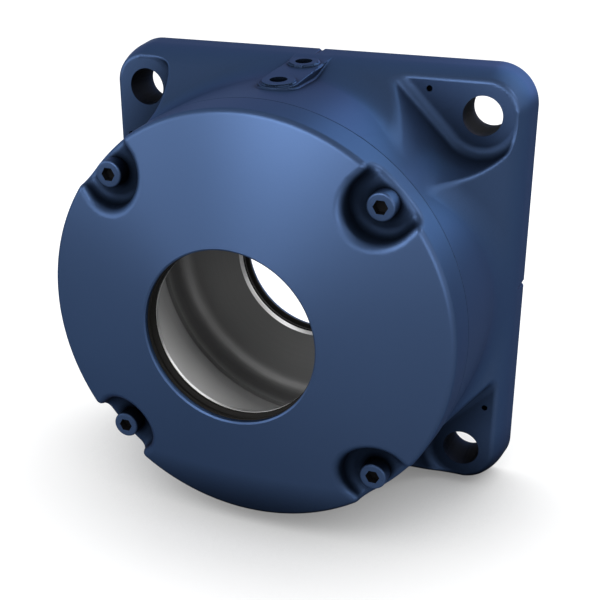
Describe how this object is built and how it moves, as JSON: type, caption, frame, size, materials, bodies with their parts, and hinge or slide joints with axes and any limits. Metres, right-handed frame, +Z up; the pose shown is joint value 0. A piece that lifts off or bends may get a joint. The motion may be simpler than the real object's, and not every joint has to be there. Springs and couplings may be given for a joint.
{
  "type": "flanged bearing housing",
  "caption": "Square four-bolt flanged bearing housing with a round bolted front cover, a shaft passage and a rubber seal at each end.",
  "frame": {"origin": "centre of the mounting face, where the bore axis meets it", "axes": "+Y along the bore axis, out of the mounting face towards the machine; the cover faces -Y; +Z up, towards the grease pad"},
  "size_m": [0.22, 0.1183, 0.22],
  "materials": {
    "painted_casting": "satin blue paint outside, bare machined metal inside",
    "painted_screw": "satin blue paint",
    "seal_rubber": "matte black"
  },
  "bodies": {
    "root": {"housing_body": "painted_casting", "front_cover": "painted_casting", "cover_screw_1": "painted_screw", "cover_screw_2": "painted_screw", "cover_screw_3": "painted_screw", "cover_screw_4": "painted_screw", "front_seal": "seal_rubber", "rear_seal": "seal_rubber"}
  },
  "joints": []
}
